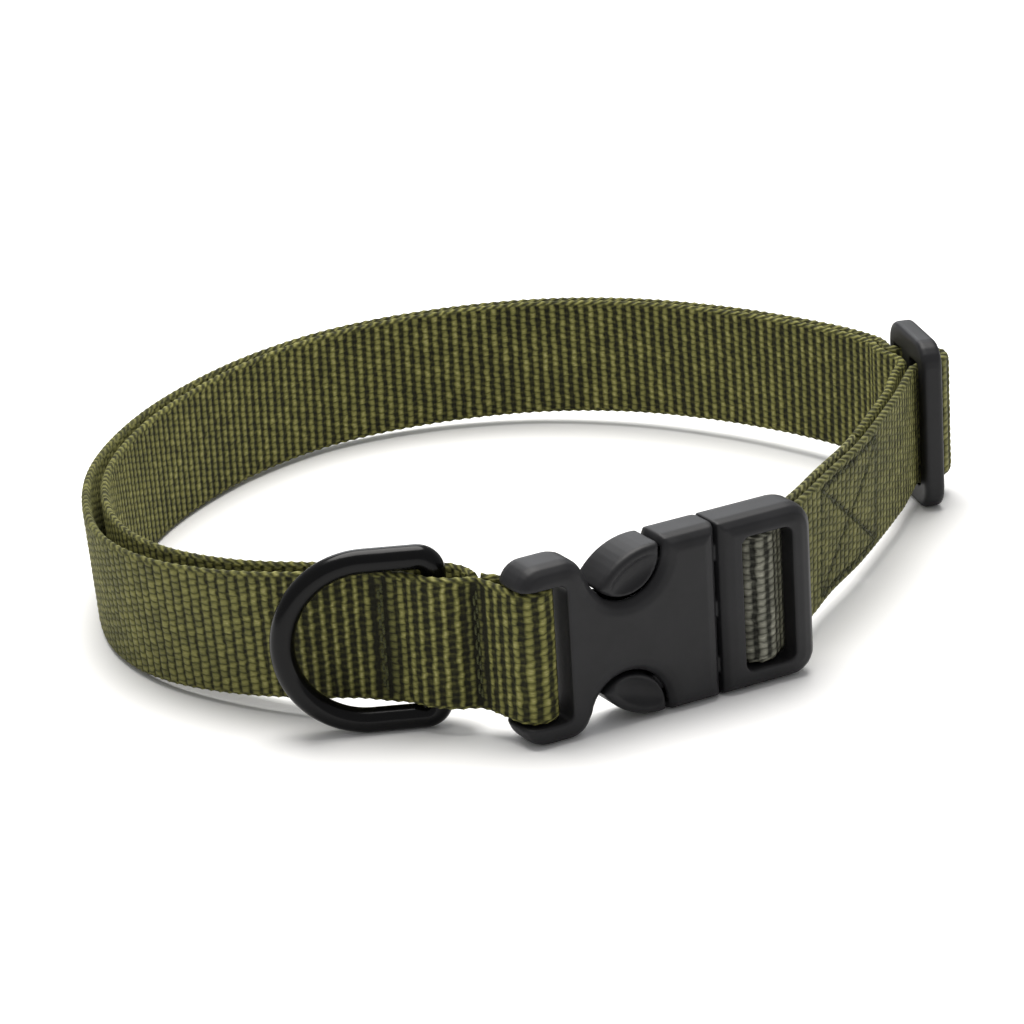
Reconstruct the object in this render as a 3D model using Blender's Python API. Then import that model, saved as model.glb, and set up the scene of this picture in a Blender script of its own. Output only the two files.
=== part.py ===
"""A dog collar of flat nylon webbing, closed and lying on its lower edge.

Two plies of webbing run all the way round.  The outer ply wraps the bars of a side-release
buckle at the front, carries a D-ring in a sewn pocket and weaves through a slider at the side.
Units are metres and +Z is up.  The origin is under the middle of the whole collar, on the
surface that it rests on.
"""
import math

import bpy
import bmesh
from mathutils import Vector

mm = 0.001
clearance = 0.3 * mm

# Webbing
webbing_width = 25.0 * mm
webbing_thick = 1.8 * mm
ply_gap = 0.5 * mm
ply_gap_widest = 4.0 * mm
lean_widest = math.radians(4.5)

# Loop in plan, measured to the middle between the two plies
loop_width = 171.6 * mm
loop_depth = 180.0 * mm
loop_middle_x = 1.0 * mm
loop_middle_y = -1.0 * mm

# Side-release buckle
buckle_length = 63.5 * mm
buckle_thick = 10.0 * mm
buckle_angle = math.radians(28.5)
buckle_corner_x = -0.0994
buckle_corner_y = -0.952
edge_round = 2.8 * mm
wing_height = 33.5 * mm
wing_start = 3.0 * mm
wing_end = 16.7 * mm
wing_corner = 4.5 * mm
body_height = 33.0 * mm
female_length = 0.682 * buckle_length
bar_radius_female = 2.2 * mm
bar_place_female = 7.2 * mm
slot_end = 12.3 * mm
slot_corner = 1.6 * mm
scallop_radius = 7.6 * mm
scallop_place = 24.3 * mm
scallop_depth = 8.7 * mm
scallop_lip = 0.8 * mm
socket_wall = 1.8 * mm
socket_start = 19.5 * mm
male_height = 33.0 * mm
male_corner = 4.6 * mm
window_wall = 4.5 * mm
end_bar = 4.6 * mm
end_bar_thick = 4.1 * mm
bar_radius_male = 2.0 * mm
bar_offset_male = -0.3 * mm
prong_thick = 3.0 * mm
prong_height = 10.8 * mm
guide_length = 9.0 * mm
pad_recess = 0.5 * mm
pad_gap = 0.45 * mm
pad_rise = 1.9 * mm
strap_turn_male = 46.0

# D-ring
ring_wire = 4.5 * mm
ring_inner_height = 25.7 * mm
ring_reach = 27.5 * mm
ring_corner = 3.0 * mm
ring_play = 0.5 * mm
ring_angle = math.radians(184.0)
ring_x = -0.218
ring_y = -0.813
ring_sides = 18
pocket_half = 9.0 * mm
butt_gap = 1.6 * mm

# Slider
slider_height = 34.6 * mm
slider_length = 21.7 * mm
slider_thick = 4.0 * mm
slider_corner = 4.6 * mm
slider_end_bar = 3.4 * mm
slider_middle_bar = 4.6 * mm
slider_angle = math.radians(102.0)
slider_x = 0.9090
slider_y = 0.198
slider_loop = 4.5 * mm
slider_round = 0.9 * mm

# The plug half starts at the socket half's end, and its bar stands by the middle of its window
male_start = female_length + clearance
window_start = male_start + window_wall
window_end = buckle_length - end_bar
bar_place_male = (window_start + window_end) / 2 + bar_offset_male

# Heights: the hardware stands on the surface and carries the webbing above it
ring_outer_height = ring_inner_height + 2 * ring_wire
hardware_z = ring_outer_height / 2
buckle_z = wing_height / 2
slider_z = slider_height / 2
lift_front = hardware_z - webbing_width / 2
lift_buckle = buckle_z - webbing_width / 2
lift_slider = slider_z - webbing_width / 2

# The loop from the sewn pocket of the D-ring, round the left and the back, to the slider.
# Columns: x and y are shares of half the loop's width and depth, gap a share of the widest ply
# gap, lift a share of the front lift, lean a share of the widest lean.
around_rows = (
    # x, y, gap, lift, lean
    (-0.308, -0.798, 0.12, 1.00, 0.0),
    (-0.372, -0.764, 0.35, 0.98, 0.2),
    (-0.455, -0.724, 0.75, 0.84, 0.7),
    (-0.631, -0.629, 0.95, 0.49, 1.0),
    (-0.788, -0.501, 1.00, 0.22, 1.0),
    (-0.894, -0.342, 0.80, 0.06, 0.9),
    (-0.950, -0.144, 0.50, 0.00, 0.7),
    (-0.955, 0.070, 0.40, 0.00, 0.6),
    (-0.903, 0.312, 0.34, 0.01, 0.3),
    (-0.813, 0.512, 0.30, 0.07, 0.0),
    (-0.661, 0.720, 0.18, 0.15, -0.2),
    (-0.469, 0.876, 0.12, 0.21, -0.3),
    (-0.235, 0.958, 0.12, 0.33, -0.4),
    (0.021, 0.968, 0.12, 0.51, -0.5),
    (0.266, 0.902, 0.12, 0.68, -0.5),
    (0.487, 0.779, 0.12, 0.79, -0.4),
    (0.662, 0.639, 0.12, 0.86, -0.2),
    (0.748, 0.552, 0.18, 0.89, 0.0),
)
# The front-right stretch from the slider down to the male half of the buckle.
stretch_rows = (
    # x, y, gap, lift, lean
    (0.826, 0.099, 0.12, 0.94, 0.1),
    (0.775, -0.027, 0.12, 0.95, 0.3),
    (0.692, -0.217, 0.12, 0.96, 0.6),
    (0.617, -0.363, 0.12, 0.97, 0.6),
    (0.572, -0.464, 0.12, 0.92, 0.3),
)
tail_share = 0.52
tail_gap = 0.8 * mm

# Finishes
olive = (0.075, 0.085, 0.032, 1.0)
charcoal = (0.028, 0.028, 0.030, 1.0)
black = (0.006, 0.006, 0.007, 1.0)


class Frame:
    """A flat frame: along runs in the plan at an angle, out points away from the neck."""

    def __init__(self, x, y, z, angle):
        self.origin = Vector((x, y, z))
        self.along = Vector((math.cos(angle), math.sin(angle), 0.0))
        self.out = Vector((math.sin(angle), -math.cos(angle), 0.0))

    def point(self, along, height, out):
        return self.origin + along * self.along + out * self.out + Vector((0.0, 0.0, height))

    def plan(self, along, out):
        spot = self.point(along, 0.0, out)
        return spot.x, spot.y


def on_loop(x, y):
    """A place in the plan from shares of half the loop's width and depth."""
    return loop_middle_x + x * loop_width / 2, loop_middle_y + y * loop_depth / 2


buckle = Frame(*on_loop(buckle_corner_x, buckle_corner_y), buckle_z, buckle_angle)
slider = Frame(*on_loop(slider_x, slider_y), slider_z, slider_angle)
ring = Frame(*on_loop(ring_x, ring_y), hardware_z, ring_angle)


def clear_scene():
    for item in list(bpy.data.objects):
        bpy.data.objects.remove(item, do_unlink=True)


def finish(name, colour, roughness, metallic):
    material = bpy.data.materials.new(name)
    material.use_nodes = True
    shader = material.node_tree.nodes["Principled BSDF"]
    shader.inputs["Base Color"].default_value = colour
    shader.inputs["Roughness"].default_value = roughness
    shader.inputs["Metallic"].default_value = metallic
    material.diffuse_color = colour
    return material


def new_object(name, bm, material, origin=None, smooth=True):
    bmesh.ops.recalc_face_normals(bm, faces=bm.faces)
    if origin is not None:
        bmesh.ops.translate(bm, vec=-origin, verts=bm.verts)
    mesh = bpy.data.meshes.new(name)
    bm.to_mesh(mesh)
    bm.free()
    if smooth:
        mesh.shade_smooth()
        mesh.set_sharp_from_angle(angle=math.radians(35))
    item = bpy.data.objects.new(name, mesh)
    if origin is not None:
        item.location = origin
    bpy.context.scene.collection.objects.link(item)
    if material:
        mesh.materials.append(material)
    return item


def helper(item):
    item.hide_render = True
    item.display_type = "WIRE"
    return item


def boolean(target, other, operation):
    modifier = target.modifiers.new(other.name, "BOOLEAN")
    modifier.operation = operation
    modifier.solver = "EXACT"
    modifier.object = other


def arc(cx, cy, radius, start, end, count):
    """Points on an arc, angles in degrees, both ends included."""
    points = []
    for i in range(count + 1):
        angle = math.radians(start + (end - start) * i / count)
        points.append((cx + radius * math.cos(angle), cy + radius * math.sin(angle)))
    return points


def arc_over(start, end, rise, count):
    """Points of the shallow arc from start to end that rises to its left by rise."""
    chord = Vector(end) - Vector(start)
    half = chord.length / 2
    radius = (half * half + rise * rise) / (2 * rise)
    left = Vector((-chord.y, chord.x)).normalized()
    middle = (Vector(start) + Vector(end)) / 2 - left * (radius - rise)
    first = Vector(start) - middle
    turn = -2 * math.asin(min(1.0, half / radius))
    points = []
    for i in range(count + 1):
        angle = turn * i / count
        spot = middle + Vector((
            first.x * math.cos(angle) - first.y * math.sin(angle),
            first.x * math.sin(angle) + first.y * math.cos(angle)))
        points.append((spot.x, spot.y))
    return points


def mirrored(half):
    """A closed outline from its upper half, given from left to right."""
    return half + [(u, -v) for u, v in reversed(half)]


def rounded_box(left, right, half_height, radius, count=4):
    half = arc(left + radius, half_height - radius, radius, 180, 90, count)
    half += arc(right - radius, half_height - radius, radius, 90, 0, count)
    return mirrored(half)


def inset(outline, distance):
    """The outline moved inward by a distance, with mitred corners."""
    count = len(outline)
    spots = [Vector(point) for point in outline]
    area = sum(spots[i - 1].cross(spots[i]) for i in range(count))
    turn = 1.0 if area > 0 else -1.0
    moved = []
    for i in range(count):
        before = (spots[i] - spots[i - 1]).normalized()
        after = (spots[(i + 1) % count] - spots[i]).normalized()
        inward = Vector((-before.y - after.y, before.x + after.x)).normalized() * turn
        half_turn = max(0.3, math.sqrt((1 + before.dot(after)) / 2))
        spot = spots[i] + inward * (distance / half_turn)
        moved.append((spot.x, spot.y))
    return moved


def plate(name, outline, low, high, frame, material=None, rounding=0.0, steps=3):
    """A flat outline in a frame, extruded from low to high, with both rims rounded."""
    layers = [(low, 0.0), (high, 0.0)]
    if rounding:
        layers = []
        for k in range(steps + 1):
            angle = math.pi / 2 * k / steps
            layers.append((low + rounding * (1 - math.sin(angle)), rounding * (1 - math.cos(angle))))
        layers.reverse()
        layers += [(low + high - depth, shrink) for depth, shrink in reversed(layers)]
    bm = bmesh.new()
    rings = []
    for depth, shrink in layers:
        shape = inset(outline, shrink) if shrink else outline
        rings.append([bm.verts.new(frame.point(u, v, depth)) for u, v in shape])
    count = len(outline)
    for lower, upper in zip(rings, rings[1:]):
        for i in range(count):
            j = (i + 1) % count
            bm.faces.new((lower[i], upper[i], upper[j], lower[j]))
    bm.faces.new(rings[0])
    bm.faces.new(rings[-1][::-1])
    return new_object(name, bm, material)


def upright_bar(name, frame, along, radius, half_height, sides=16):
    """A round bar that stands across a window of the frame."""
    outline = arc(along, 0.0, radius, 0, 360 - 360 / sides, sides - 1)
    bm = bmesh.new()
    low = [bm.verts.new(frame.point(u, -half_height, n)) for u, n in outline]
    top = [bm.verts.new(frame.point(u, half_height, n)) for u, n in outline]
    bm.faces.new(low)
    bm.faces.new(top[::-1])
    for i in range(sides):
        j = (i + 1) % sides
        bm.faces.new((low[i], top[i], top[j], low[j]))
    return new_object(name, bm, None)


def smooth_curve(knots, step):
    """A curve through the knots (centripetal Catmull-Rom), sampled about every step."""
    knots = [Vector(knot) for knot in knots]
    first = knots[0] * 2 - knots[1]
    last = knots[-1] * 2 - knots[-2]
    knots = [first] + knots + [last]
    points = []
    for i in range(1, len(knots) - 2):
        a, b, c, d = knots[i - 1:i + 3]
        t0 = 0.0
        t1 = t0 + math.sqrt((b.xy - a.xy).length)
        t2 = t1 + math.sqrt((c.xy - b.xy).length)
        t3 = t2 + math.sqrt((d.xy - c.xy).length)
        count = max(1, math.ceil((c.xy - b.xy).length / step))
        for k in range(count):
            t = t1 + (t2 - t1) * k / count
            ab = a * ((t1 - t) / (t1 - t0)) + b * ((t - t0) / (t1 - t0))
            bc = b * ((t2 - t) / (t2 - t1)) + c * ((t - t1) / (t2 - t1))
            cd = c * ((t3 - t) / (t3 - t2)) + d * ((t - t2) / (t3 - t2))
            abc = ab * ((t2 - t) / (t2 - t0)) + bc * ((t - t0) / (t2 - t0))
            bcd = bc * ((t3 - t) / (t3 - t1)) + cd * ((t - t1) / (t3 - t1))
            points.append(abc * ((t2 - t) / (t2 - t1)) + bcd * ((t - t1) / (t2 - t1)))
    points.append(knots[-2])
    return points


def thin_out(points, most_turn, longest):
    """Drops points where the curve is gentle, so that flat stretches take few facets."""
    kept = [points[0]]
    turned = 0.0
    for i in range(1, len(points) - 1):
        before = (points[i] - points[i - 1]).xy
        after = (points[i + 1] - points[i]).xy
        turned += abs(before.angle_signed(after))
        if turned >= most_turn or (points[i] - kept[-1]).xy.length >= longest:
            kept.append(points[i])
            turned = 0.0
    kept.append(points[-1])
    return kept


def outward(points, i):
    """The unit normal in the plan that points away from the neck, at point i of a ply."""
    ahead = points[min(i + 1, len(points) - 1)]
    behind = points[max(i - 1, 0)]
    along = (ahead - behind).xy.normalized()
    return Vector((-along.y, along.x))


def middle_line(rows):
    """The line between the plies as (x, y, lift, lean) with its gap, from a table of shares."""
    knots = []
    for x, y, gap, lift, lean in rows:
        knots.append((*on_loop(x, y), lift * lift_front, lean * lean_widest, gap))
    return knots


def curve_rows(rows, step):
    """Samples a table: one curve for the place and lift, one for the lean and gap."""
    knots = middle_line(rows)
    places = smooth_curve([(x, y, lift) for x, y, lift, lean, gap in knots], step)
    others = smooth_curve([(x, y, lean) for x, y, lift, lean, gap in knots], step)
    gaps = smooth_curve([(x, y, gap) for x, y, lift, lean, gap in knots], step)
    result = []
    for place, other, gap in zip(places, others, gaps):
        width = max(ply_gap, gap.z * ply_gap_widest)
        result.append((place.x, place.y, max(place.z, 0.0), other.z, width))
    return result


def offset_ply(samples, side):
    """One ply beside the middle line: side is 1 for the outer ply and -1 for the inner."""
    points = [Vector((x, y, 0.0)) for x, y, lift, lean, gap in samples]
    ply = []
    for i, (x, y, lift, lean, gap) in enumerate(samples):
        normal = outward(points, i)
        shift = side * (gap + webbing_thick) / 2
        ply.append(Vector((x + normal.x * shift, y + normal.y * shift, lift, lean)))
    return ply


def knots_in(frame, spots, lift):
    """Ply points given in a frame as (along, out)."""
    return [Vector((*frame.plan(along, out), lift, 0.0)) for along, out in spots]


def sample_path(knots):
    """A ply's whole middle line as (x, y, lift, lean)."""
    places = smooth_curve([(k.x, k.y, k.z) for k in knots], 0.5 * mm)
    leans = smooth_curve([(k.x, k.y, k.w) for k in knots], 0.5 * mm)
    whole = [Vector((p.x, p.y, max(p.z, 0.0), lean.z)) for p, lean in zip(places, leans)]
    return thin_out(whole, math.radians(9), 6 * mm)


def webbing(name, path, material):
    """A wall of webbing that follows a path of (x, y, lift, lean)."""
    bm = bmesh.new()
    rings = []
    half = webbing_thick / 2
    for i, spot in enumerate(path):
        normal = outward(path, i)
        lean = normal * (webbing_width * math.sin(spot.w))
        rise = webbing_width * math.cos(spot.w)
        ring_verts = []
        for side, top in ((1, 0), (1, 1), (-1, 1), (-1, 0)):
            ring_verts.append(bm.verts.new((
                spot.x + normal.x * half * side + lean.x * top,
                spot.y + normal.y * half * side + lean.y * top,
                spot.z + rise * top)))
        rings.append(ring_verts)
    for a, b in zip(rings, rings[1:]):
        for i in range(4):
            j = (i + 1) % 4
            bm.faces.new((a[i], a[j], b[j], b[i]))
    bm.faces.new(rings[0][::-1])
    bm.faces.new(rings[-1])
    return new_object(name, bm, material)


around = curve_rows(around_rows, 6 * mm)
stretch = curve_rows(stretch_rows, 6 * mm)
fold_female = bar_radius_female + clearance + webbing_thick / 2
fold_male = bar_radius_male + clearance + webbing_thick / 2
beside_bar = clearance + webbing_thick / 2
turn_corner = beside_bar + 0.05 * mm
pinched = (ply_gap + webbing_thick) / 2
pocket_shoulder = 0.82


def pocket_line():
    """The plan direction of the sewn pocket: from the female half's bar past the D-ring's bar."""
    bar = Vector(buckle.plan(bar_place_female, 0.0))
    return (ring.origin.xy - bar).normalized()


def ring_pocket(side, start):
    """The ply beside the D-ring's straight bar, between the two rows of stitches."""
    away = (ring_wire + webbing_thick) / 2 + ring_play
    shoulder = away * pocket_shoulder
    along = pocket_line()
    out = Vector((-along.y, along.x))
    spots = []
    for place, distance in ((start, pinched), (-pocket_half / 2, shoulder), (0.0, away),
                            (pocket_half / 2, shoulder)):
        spot = ring.origin.xy + along * place + out * distance * side
        spots.append(Vector((spot.x, spot.y, lift_front, 0.0)))
    return spots


def female_fold():
    """From the inner side round the bar of the female half to the outer ply, half a turn."""
    along = pocket_line()
    across = math.degrees(math.atan2(along.dot(buckle.out.xy), along.dot(buckle.along.xy))) - 90
    spots = [(bar_place_female + u, n) for u, n in arc(0, 0, fold_female, across - 180, across, 9)]
    return knots_in(buckle, spots, lift_buckle)


def male_fold():
    """From the front-right stretch, outside the middle bar and back on the inner side."""
    corner_u = window_end
    corner_n = buckle_thick / 2 - end_bar_thick
    leaving = corner_n - beside_bar - 3.4 * mm
    spots = [(buckle_length, leaving)]
    spots += arc(corner_u, corner_n, turn_corner, 250, 225, 1)
    spots += [(bar_place_male + u, n) for u, n in arc(0, 0, fold_male, strap_turn_male, 270, 9)]
    spots += [(corner_u - 0.4 * mm, -fold_male - 0.2 * mm), (buckle_length, leaving - 2.9 * mm)]
    return knots_in(buckle, spots, lift_buckle)


def slider_weave():
    """In at the far slot, over the middle bar and out at the near slot, far end first."""
    near_corner = slider_end_bar
    far_corner = slider_length - slider_end_bar
    middle = slider_length / 2
    spots = [(slider_length + 1.5 * mm, -beside_bar - 0.2 * mm)]
    spots += arc(far_corner, 0.0, turn_corner, 270, 190, 3)
    spots += arc(middle, 3.2 * mm, slider_loop, 0, 180, 10)
    spots += arc(near_corner, 0.0, turn_corner, -10, -60, 2)
    return knots_in(slider, spots, lift_slider)


def inside_slider():
    """The inner ply where it turns past the slider, far end first."""
    spots = [(slider_length + 1.0 * mm, -3.6 * mm), (slider_length * 0.8, -3.4 * mm),
             (slider_length * 0.42, -1.5 * mm), (slider_length * 0.17, -4.5 * mm), (0.0, -6.4 * mm)]
    return knots_in(slider, spots, lift_slider)


def split_stretch():
    """The place along the stretch's inner ply where the strap's two ends meet."""
    inner = offset_ply(stretch, -1)
    cut = round(tail_share * (len(inner) - 1))
    onward = inner[cut + 1] - inner[cut]
    tail_end = inner[cut] + onward * (tail_gap / onward.xy.length)
    return inner[:cut + 1], [tail_end] + inner[cut + 1:]


def outer_path():
    knots = [ring_pocket(-1, -pocket_half)[0]]
    knots += female_fold()
    knots += ring_pocket(1, -pocket_half)
    knots += offset_ply(around, 1)
    knots += slider_weave()
    knots += offset_ply(stretch, 1)
    knots += male_fold()
    tail = reversed(split_stretch()[1])
    knots += [Vector((k.x, k.y, k.z, -k.w)) for k in tail]
    return sample_path(knots)


def inner_path():
    knots = ring_pocket(-1, butt_gap - pocket_half)
    knots += offset_ply(around, -1)
    knots += inside_slider()
    knots += split_stretch()[0]
    return sample_path(knots)


def d_ring(material):
    """Round wire bent to a D: a straight bar in the pocket and a round far side."""
    radius = (ring_inner_height + ring_wire) / 2
    straight = ring_reach - radius
    line = arc(ring_corner, radius - ring_corner, ring_corner, 180, 90, 4)
    line += arc(straight, 0.0, radius, 90, -90, 24)
    line += arc(ring_corner, -radius + ring_corner, ring_corner, 270, 180, 4)
    bm = bmesh.new()
    rings = []
    count = len(line)
    for i, (u, v) in enumerate(line):
        ahead = Vector(line[(i + 1) % count])
        behind = Vector(line[i - 1])
        spot = Vector((u, v))
        into = (ahead - spot).normalized() - (behind - spot).normalized()
        side = Vector((-into.y, into.x)).normalized()
        verts = []
        for k in range(ring_sides):
            angle = 2 * math.pi * k / ring_sides
            across = ring_wire / 2 * math.cos(angle)
            depth = ring_wire / 2 * math.sin(angle)
            verts.append(bm.verts.new(ring.point(u + side.x * across, v + side.y * across, depth)))
        rings.append(verts)
    for i in range(count):
        a = rings[i]
        b = rings[(i + 1) % count]
        for k in range(ring_sides):
            j = (k + 1) % ring_sides
            bm.faces.new((a[k], a[j], b[j], b[k]))
    return new_object("d_ring", bm, material, origin=ring.origin)


def slider_piece(material):
    half = slider_height / 2
    body = plate("slider", rounded_box(0.0, slider_length, half, slider_corner, 5),
                 0.0, slider_thick, slider, material, slider_round)
    slot_half = webbing_width / 2 + clearance + 0.1 * mm
    middle = slider_length / 2
    for name, left, right in (("near_slot", slider_end_bar, middle - slider_middle_bar / 2),
                              ("far_slot", middle + slider_middle_bar / 2, slider_length - slider_end_bar)):
        cutter = plate(name, rounded_box(left, right, slot_half, 0.8 * mm, 2),
                       -slider_thick, 2 * slider_thick, slider)
        boolean(body, helper(cutter), "DIFFERENCE")
    return body


def scallop_rim(radius, start, end, count):
    centre_v = wing_height / 2 - scallop_depth + scallop_radius - 1.0 * mm
    return arc(scallop_place, centre_v, radius, start, end, count)


def female_half(material):
    wing = wing_height / 2
    body = body_height / 2
    half = arc(wing_start + wing_corner, wing - wing_corner, wing_corner, 180, 90, 6)
    half += arc(wing_end - wing_corner, wing - wing_corner, wing_corner, 90, 20, 5)
    half += scallop_rim(scallop_radius, 192, 358, 18)
    half += [(scallop_place + scallop_radius + scallop_lip, body), (female_length, body)]
    deep = buckle_thick / 2
    shell = plate("buckle_female", mirrored(half), -deep, deep, buckle, material, edge_round)
    opening = webbing_width / 2 + clearance + 0.1 * mm
    slot = rounded_box(-10 * mm, slot_end, opening, slot_corner)
    boolean(shell, helper(plate("female_slot", slot, -2 * deep, 2 * deep, buckle)), "DIFFERENCE")
    socket_half = body - socket_wall
    socket = rounded_box(socket_start, female_length + 10 * mm, socket_half, 0.6 * mm, 1)
    socket_deep = deep - socket_wall
    boolean(shell, helper(plate("socket", socket, -socket_deep, socket_deep, buckle)), "DIFFERENCE")
    bar = upright_bar("female_bar", buckle, bar_place_female, bar_radius_female, opening + 1.5 * mm)
    boolean(shell, helper(bar), "UNION")
    return shell


def male_half(material):
    left = male_start
    deep = buckle_thick / 2
    half_height = male_height / 2
    half = [(left, half_height)]
    half += arc(buckle_length - male_corner, half_height - male_corner, male_corner, 90, 0, 6)
    body = plate("buckle_male", mirrored(half), -deep, deep, buckle, material, edge_round)
    opening = webbing_width / 2 + clearance + 0.1 * mm
    window = rounded_box(window_start, window_end, opening, slot_corner)
    boolean(body, helper(plate("window", window, -2 * deep, 2 * deep, buckle)), "DIFFERENCE")
    notch = rounded_box(window_start + slot_corner, buckle_length + 10 * mm, opening, 0.4 * mm, 1)
    notch_top = deep - end_bar_thick
    boolean(body, helper(plate("notch", notch, -2 * deep, notch_top, buckle)), "DIFFERENCE")
    bar = upright_bar("male_bar", buckle, bar_place_male, bar_radius_male, opening + 1.5 * mm)
    boolean(body, helper(bar), "UNION")
    arm_deep = deep - socket_wall - clearance
    guide = rounded_box(left - guide_length, left + 1.5 * mm, prong_thick / 2, 0.5 * mm, 1)
    boolean(body, helper(plate("guide", guide, -arm_deep, arm_deep, buckle)), "UNION")
    pad_deep = deep - pad_recess
    arm_top = prong_height + prong_thick / 2
    arm_low = prong_height - prong_thick / 2
    rim = scallop_rim(scallop_radius - pad_gap, 222, 370, 16)
    pad_outline = rim + arc_over(rim[0], rim[-1], pad_rise, 10)[-2:0:-1]
    for side, word in ((1, "upper"), (-1, "lower")):
        pad = [(u, v * side) for u, v in pad_outline]
        if side < 0:
            pad.reverse()
        boolean(body, helper(plate(f"{word}_pad", pad, -pad_deep, pad_deep, buckle, None, 1.0 * mm)), "UNION")
        arm = [(scallop_place + scallop_radius - 4 * mm, arm_low * side), (left + 1.5 * mm, arm_low * side),
               (left + 1.5 * mm, arm_top * side), (scallop_place + scallop_radius - 4 * mm, arm_top * side)]
        if side < 0:
            arm.reverse()
        boolean(body, helper(plate(f"{word}_arm", arm, -arm_deep, arm_deep, buckle)), "UNION")
    return body


def build():
    clear_scene()
    cloth = finish("olive_webbing", olive, 0.85, 0.0)
    plastic = finish("charcoal_plastic", charcoal, 0.5, 0.0)
    coated = finish("black_coated_wire", black, 0.3, 0.0)
    webbing("webbing_outer", outer_path(), cloth)
    webbing("webbing_inner", inner_path(), cloth)
    d_ring(coated)
    slider_piece(plastic)
    female_half(plastic)
    male_half(plastic)


build()
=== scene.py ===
"""Looks of the dog collar: ribbed nylon webbing, moulded acetal hardware and a coated wire ring.

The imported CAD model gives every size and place.  The two plies of webbing are replaced by woven
meshes along the same lines, the D-ring by a finer sweep of the same wire, and the moulded pieces
keep their CAD nodes with softened edges.
"""
import math

import bpy
import numpy as np
from mathutils import Matrix, Vector


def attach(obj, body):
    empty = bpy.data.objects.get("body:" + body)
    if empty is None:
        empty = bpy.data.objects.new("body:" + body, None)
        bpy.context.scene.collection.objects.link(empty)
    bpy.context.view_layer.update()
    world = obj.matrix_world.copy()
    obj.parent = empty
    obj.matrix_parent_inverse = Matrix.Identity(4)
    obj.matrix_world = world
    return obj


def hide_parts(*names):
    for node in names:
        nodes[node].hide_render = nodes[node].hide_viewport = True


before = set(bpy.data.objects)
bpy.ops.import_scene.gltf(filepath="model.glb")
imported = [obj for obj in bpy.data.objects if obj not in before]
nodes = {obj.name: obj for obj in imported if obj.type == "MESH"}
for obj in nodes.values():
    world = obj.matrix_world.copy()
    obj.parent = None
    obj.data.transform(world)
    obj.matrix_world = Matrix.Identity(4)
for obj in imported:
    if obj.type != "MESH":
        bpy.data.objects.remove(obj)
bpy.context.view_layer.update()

mm = 0.001
rng = np.random.default_rng(7)

# Webbing, as in the CAD model
clearance = 0.3 * mm
webbing_width = 25.0 * mm
webbing_thick = 1.8 * mm
ply_gap = 0.5 * mm
ply_gap_widest = 4.0 * mm
lean_widest = math.radians(4.5)
loop_width = 171.6 * mm
loop_depth = 180.0 * mm
loop_middle_x = 1.0 * mm
loop_middle_y = -1.0 * mm

# Weave: upright ribs over the weft, each a column of beads where the warp yarns float over it
rib_pitch = 2.15 * mm
bead_rows = 18
bead_pitch = webbing_width / bead_rows
bead_relief = 0.34 * mm
bead_root = 0.62 * bead_relief
bead_dip = 0.42
selvedge = 1.0 * mm
strand_swell = 0.2 * mm
# Steps of the woven mesh to a rib and to a bead, and heights of the few rows on a ply's plain back
rib_steps = 4
bead_steps = 4
back_rows = (25.0 * mm, 24.2 * mm, 12.5 * mm, 0.8 * mm, 0.0)

# Stitches: how deep they pull the webbing down, how wide that dent is, and where the box starts and ends
row_sink = 0.62 * mm
row_dent = 1.7 * mm
box_sink = 0.34 * mm
box_dent = 0.55 * mm
twin_gap = 1.0 * mm
stitch_margin = 1.9 * mm
second_row_share = 0.94
box_start_place = (65.2 * mm, -12.3 * mm)
box_end_place = (52.4 * mm, -40.2 * mm)

# Hardware places and sizes, as in the CAD model
wing_height = 33.5 * mm
buckle_length = 63.5 * mm
buckle_thick = 10.0 * mm
buckle_angle = math.radians(28.5)
bar_radius_female = 2.2 * mm
bar_place_female = 7.2 * mm
end_bar = 4.6 * mm
end_bar_thick = 4.1 * mm
bar_radius_male = 2.0 * mm
bar_place_male = 53.2 * mm
# Degrees at which the outer ply meets its fold round the plug half's bar
strap_turn_male = 46.0
male_leaving = 3.4 * mm
male_ply_step = 2.9 * mm
ring_wire = 4.5 * mm
ring_inner_height = 25.7 * mm
ring_reach = 27.5 * mm
ring_corner = 3.0 * mm
ring_play = 0.5 * mm
ring_angle = math.radians(184.0)
pad_face_along = 26.2 * mm
pad_face_height = 10.9 * mm
pad_slope = math.radians(26.0)
pad_recess = 0.5 * mm
mould_swell = 0.09 * mm
pocket_half = 9.0 * mm
pocket_shoulder = 0.82
butt_gap = 1.6 * mm
slider_height = 34.6 * mm
slider_length = 21.7 * mm
slider_end_bar = 3.4 * mm
slider_loop = 4.5 * mm
slider_loop_out = 3.2 * mm
slider_angle = math.radians(102.0)
tail_share = 0.52
tail_gap = 0.8 * mm
ring_outer_height = ring_inner_height + 2 * ring_wire
ring_z = ring_outer_height / 2
buckle_z = wing_height / 2
slider_z = slider_height / 2
lift_front = ring_z - webbing_width / 2
lift_buckle = buckle_z - webbing_width / 2
lift_slider = slider_z - webbing_width / 2

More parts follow.
